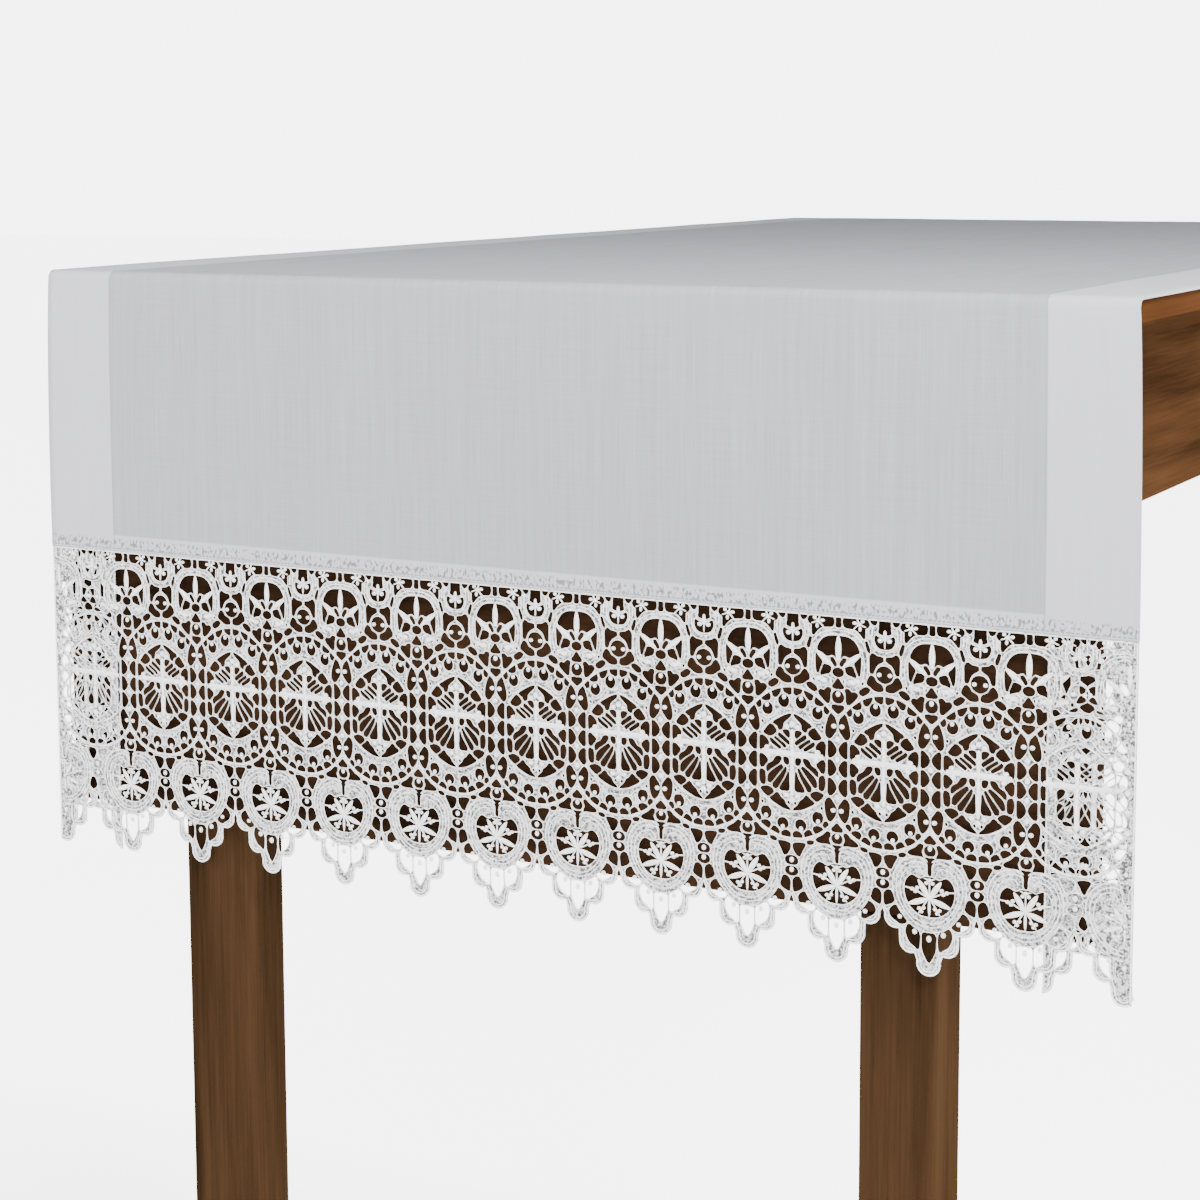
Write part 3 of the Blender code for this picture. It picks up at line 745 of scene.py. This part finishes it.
def net_look():
    look = Look("lace_ground", 0.85)
    place = look.node("ShaderNodeTexCoord", "Object")
    stitches = look.noise(place, (640.0, 500.0, 640.0), 2.0, 0.5)
    clumps = look.noise(place, (330.0, 330.0, 330.0), 1.0)
    # Painted shade: the ground's white thread is drawn from near black to mid grey, standing in for the shade in
    # the small gaps between its stitches. The same noise makes the bump.
    stitch_height_and_shade = look.sum("MULTIPLY_ADD", clumps, 0.4, look.sum("MULTIPLY", stitches, 0.6))
    colour = look.between(look.ranged(stitch_height_and_shade, 0.41, 0.57), (0.06, 0.06, 0.065), (0.62, 0.62, 0.63))
    look.put(look.shader.inputs["Base Color"], colour)
    look.bump(stitch_height_and_shade, 0.0008, 0.9)
    return look.material


def wood_look(name, grain, dark, light, roughness=0.5):
    """Oiled hardwood with its grain along the given axis."""
    look = Look(name, roughness)
    place = look.node("ShaderNodeTexCoord", "Object")
    coarse = [26.0, 26.0, 26.0]
    fine = [420.0, 420.0, 420.0]
    coarse[grain] = 1.6
    fine[grain] = 9.0
    bend = look.noise(place, (3.0, 3.0, 3.0), 2.0)
    bent = look.node("ShaderNodeVectorMath", 0, {"operation": "MULTIPLY_ADD"})
    adder = bent.node
    look.put(adder.inputs[0], look.node("ShaderNodeTexNoise", 1, Vector=look.stretch(place, (2.0, 2.0, 2.0)), Scale=1.0))
    adder.inputs[1].default_value = (0.05, 0.05, 0.05)
    look.put(adder.inputs[2], place)
    rings = look.noise(bent, tuple(coarse), 3.0, 0.55)
    fibres = look.noise(place, tuple(fine), 4.0, 0.65)
    tone = look.sum("MULTIPLY_ADD", rings, 0.65, look.sum("MULTIPLY_ADD", fibres, 0.25, look.sum("MULTIPLY", bend, 0.15)))
    colour = look.between(look.ranged(tone, 0.38, 0.68), dark, light)
    look.put(look.shader.inputs["Base Color"], colour)
    look.put(look.shader.inputs["Roughness"], look.ranged(fibres, 0.3, 0.7, roughness + 0.1, roughness - 0.05))
    look.shader.inputs["Specular IOR Level"].default_value = 0.0
    look.bump(fibres, 0.0004, 0.5)
    return look.material


def drape(along):
    """The outer face's place (y, z), its outward direction, the share of the drop and the end."""
    straight = PLAIN_DROP - BEND_OUTSIDE
    bend = math.pi / 2 * BEND_OUTSIDE
    flat = 2 * (HALF_RUN - BEND_OUTSIDE)
    total = 2 * (straight + bend) + flat
    end = -1
    if along > total / 2:
        along = total - along
        end = 1
    if along <= straight:
        share = along / straight
        return end * HALF_RUN, TOP_OF_CLOTH - PLAIN_DROP + along, (end, 0.0), share, end
    if along <= straight + bend:
        angle = (along - straight) / BEND_OUTSIDE
        y = HALF_RUN - BEND_OUTSIDE * (1 - math.cos(angle))
        z = TOP_OF_CLOTH - BEND_OUTSIDE * (1 - math.sin(angle))
        return end * y, z, (end * math.cos(angle), math.sin(angle)), 1.0, end
    y = HALF_RUN - BEND_OUTSIDE - (along - straight - bend)
    return end * y, TOP_OF_CLOTH, (0.0, 1.0), 1.0, 0


def billow(x, share):
    """How far a point of a drop moves sideways and outwards."""
    fallen = math.sin(math.pi / 2 * (1 - share)) ** FALL_POWER
    sideways = fallen * SPREAD * (x / HALF_WIDTH) ** EDGE_POWER
    waves = sum(part * (1 + math.sin(rate * x + phase)) for part, rate, phase in WAVES)
    return sideways, DROP_WAVE * math.sin(math.pi * share) * waves


def build_cloth(look):
    """One sheet of cloth, thicker where it is turned under."""
    straight = PLAIN_DROP - BEND_OUTSIDE
    bend = math.pi / 2 * BEND_OUTSIDE
    flat = 2 * (HALF_RUN - BEND_OUTSIDE)
    total = 2 * (straight + bend) + flat
    drop_rows = list(np.linspace(LOWER_HEM + HEM_STEP, straight, 36))
    start = [0.0, 0.0015, 0.004, 0.008, LOWER_HEM] + drop_rows
    turn = list(np.linspace(straight, straight + bend, 7))[1:]
    top = list(np.linspace(straight + bend, total / 2, 60))[1:]
    rows = start + turn + top
    rows += [total - s for s in reversed(rows[:-1])]
    inner = HALF_WIDTH - SIDE_HEM - HEM_STEP
    sides = list(np.linspace(HALF_WIDTH, HALF_WIDTH - SIDE_HEM, 11))
    columns = [-x for x in sides] + list(np.linspace(-inner, inner, 118)) + list(reversed(sides))
    sheet = bmesh.new()
    bmesh.ops.create_grid(sheet, x_segments=len(columns) - 1, y_segments=len(rows) - 1, size=0.5)
    mesh = bpy.data.meshes.new("cloth_sheet")
    sheet.to_mesh(mesh)
    sheet.free()
    obj = bpy.data.objects.new("cloth_sheet", mesh)
    bpy.context.scene.collection.objects.link(obj)
    hem = obj.vertex_groups.new(name="hem")
    cut = mesh.uv_layers.new(name="cut")
    places = []
    for vertex in mesh.vertices:
        x = columns[round((vertex.co.x + 0.5) * (len(columns) - 1))]
        along = rows[round((vertex.co.y + 0.5) * (len(rows) - 1))]
        y, z, outward, share, end = drape(along)
        from_foot = min(along, total - along)
        turned = abs(x) >= HALF_WIDTH - SIDE_HEM - 1e-6 or from_foot <= LOWER_HEM + 1e-6
        hem.add([vertex.index], 1.0 if turned else 0.0, "REPLACE")
        sideways, outwards = billow(x, share) if end else (0.0, 0.0)
        if end and share == 1.0:
            outwards = 0.0
        ripple = noise.noise(Vector((x * 14.0, along * 9.0, 3.0))) + 0.5 * noise.noise(Vector((x * 45.0, along * 6.0, 8.0)))
        ripple = FINE_WAVE * max(ripple, -0.4) * min(1.0, from_foot / 0.03)
        lift = outwards + ripple
        vertex.co = (x + sideways, y + outward[0] * lift, z + outward[1] * lift)
        places.append((x, from_foot))
    for loop in mesh.loops:
        cut.data[loop.index].uv = places[loop.vertex_index]
    thick = obj.modifiers.new("cloth thickness", "SOLIDIFY")
    thick.thickness = HEM_THICK
    thick.offset = -1.0
    thick.use_even_offset = True
    thick.vertex_group = "hem"
    thick.thickness_vertex_group = CLOTH_THICK / HEM_THICK
    mesh.shade_smooth()
    mesh.materials.append(look)
    return obj


def hang_lace(thread, ground):
    """The border, in pieces along its length, and its turned ends behind it."""
    half = HALF_LACE
    pieces = []
    whole = net(-half, half).build("lace_ground", ground, LACE_MIDDLE)
    pieces.append(whole)
    spans = ((-half, -2.25), (-2.25, 2.25), (2.25, half))
    loops = kept_openings(-half, half)
    for number, (first, last) in enumerate(spans, 1):
        weave = rims([loop for loop in loops if first <= loop[:, 0].mean() < last])
        pieces.append(weave.build(f"lace_cords_{number}", thread, LACE_MIDDLE))
    pieces.append(trimmings(-half, half).build("lace_raised_cords", thread, LACE_MIDDLE))
    pieces.append(dots(-half, half).build("lace_dots", thread, LACE_MIDDLE))
    behind = LACE_MIDDLE + FOLD_BEHIND
    for name, side in (("left", -1), ("right", 1)):
        fold = side * half
        span = sorted((fold, fold + side * LACE_FOLD))
        span = (span[0] + 0.012, span[1]) if side > 0 else (span[0], span[1] - 0.012)
        pieces.append(net(*span).build(f"lace_turned_ground_{name}", ground, behind, turned=fold))
        weave = rims(kept_openings(*span))
        pieces.append(weave.build(f"lace_turned_cords_{name}", thread, behind, turned=fold))
        weave = trimmings(*span)
        pieces.append(weave.build(f"lace_turned_raised_{name}", thread, behind, turned=fold))
        weave = dots(*span)
        pieces.append(weave.build(f"lace_turned_dots_{name}", thread, behind, turned=fold))
    return pieces


def light(name, place, aim, size, power, colour=(1.0, 1.0, 1.0)):
    lamp = bpy.data.lights.new(name, "AREA")
    lamp.shape = "RECTANGLE"
    lamp.size, lamp.size_y = size
    lamp.energy = power
    lamp.color = colour
    obj = bpy.data.objects.new(name, lamp)
    obj.location = place
    obj.rotation_euler = (Vector(aim) - Vector(place)).to_track_quat("-Z", "Y").to_euler()
    bpy.context.scene.collection.objects.link(obj)


def build_camera():
    """The photograph's view: from the right, a little above the cloth, with the lens shifted up."""
    yaw, pitch, roll = (math.radians(a) for a in (28.02, 6.886, -0.248))
    turn = Matrix(((math.cos(yaw), math.sin(yaw), 0), (-math.sin(yaw), math.cos(yaw), 0), (0, 0, 1)))
    base = Matrix(((1, 0, 0), (0, 0, -1), (0, 1, 0)))
    tip = Matrix(((1, 0, 0), (0, math.cos(pitch), -math.sin(pitch)), (0, math.sin(pitch), math.cos(pitch))))
    lean = Matrix(((math.cos(roll), -math.sin(roll), 0), (math.sin(roll), math.cos(roll), 0), (0, 0, 1)))
    rows = lean @ tip @ base @ turn
    facing = Matrix((rows[0], -rows[1], -rows[2])).transposed().to_4x4()
    facing.translation = (0.9161, -2.3719, 1.0038)
    data = bpy.data.cameras.new("camera")
    data.sensor_width = 36.0
    data.lens = 76.68
    data.shift_y = -0.125
    data.clip_start = 0.05
    obj = bpy.data.objects.new("camera", data)
    bpy.context.scene.collection.objects.link(obj)
    obj.matrix_world = facing
    bpy.context.scene.camera = obj


def build_stage():
    """A pale floor under the table, and soft light from the front."""
    mesh = bpy.data.meshes.new("floor")
    plane = bmesh.new()
    bmesh.ops.create_grid(plane, x_segments=1, y_segments=1, size=20.0)
    plane.to_mesh(mesh)
    plane.free()
    floor = bpy.data.objects.new("floor", mesh)
    bpy.context.scene.collection.objects.link(floor)
    pale = Look("pale_floor", 0.9)
    pale.put(pale.shader.inputs["Base Color"], (0.92, 0.92, 0.92))
    mesh.materials.append(pale.material)
    pale.put(pale.shader.inputs["Emission Color"], (1.0, 1.0, 1.0))
    place = pale.node("ShaderNodeTexCoord", "Object")
    behind = pale.node("ShaderNodeSeparateXYZ", 1, Vector=place)
    pale.put(pale.shader.inputs["Emission Strength"], pale.ranged(behind, -1.1, -0.3, FLOOR_GLOW, FAR_FLOOR_GLOW))
    world = bpy.data.worlds.new("studio")
    bpy.context.scene.world = world
    world.use_nodes = True
    tree = world.node_tree
    place = tree.nodes.new("ShaderNodeTexCoord")
    split = tree.nodes.new("ShaderNodeSeparateXYZ")
    fade = tree.nodes.new("ShaderNodeMapRange")
    for socket, number in zip(fade.inputs[1:5], (0.10, 0.24, WALL_GLOW, CEILING_GLOW)):
        socket.default_value = number
    tree.links.new(place.outputs["Generated"], split.inputs[0])
    tree.links.new(split.outputs[2], fade.inputs[0])
    tree.links.new(fade.outputs[0], tree.nodes["Background"].inputs["Strength"])
    tree.nodes["Background"].inputs["Color"].default_value = (1.0, 1.0, 1.0, 1.0)
    light("key", (1.5, -1.9, 2.3), (0.0, -0.7, 0.7), (0.7, 0.7), 123)
    light("fill", (-1.6, -2.0, 1.6), (0.0, -0.7, 0.7), (1.0, 1.0), 51)
    light("overhead", (0.3, -1.0, 1.9), (0.1, -0.6, 0.9), (0.8, 0.8), 11)


def main():
    thread, ground = lace_look(), net_look()
    cloth = build_cloth(cloth_look())
    lace = hang_lace(thread, ground)
    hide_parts("cloth")
    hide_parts("lace")
    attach(cloth, "root")
    for piece in lace:
        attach(piece, "root")
    brown = (
        ("wood_across", 0, (0.014, 0.0074, 0.0041), (0.048, 0.0236, 0.0120), ("end_board_near", "end_board_far")),
        ("wood_along", 1, (0.016, 0.0078, 0.0034), (0.068, 0.0316, 0.0133), ("rail_left", "rail_right")),
        ("wood_edge", 1, (0.034, 0.0136, 0.0050), (0.074, 0.0300, 0.0113), ("table_top",)),
        ("wood_upright", 2, (0.013, 0.0070, 0.0033), (0.051, 0.0268, 0.0128),
         ("leg_near_left", "leg_near_right", "leg_far_left", "leg_far_right")),
    )
    for name, grain, dark, light_tone, nodes in brown:
        wood = wood_look(name, grain, dark, light_tone)
        for node in nodes:
            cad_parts[node].material_slots[0].material = wood
    build_stage()
    build_camera()


main()
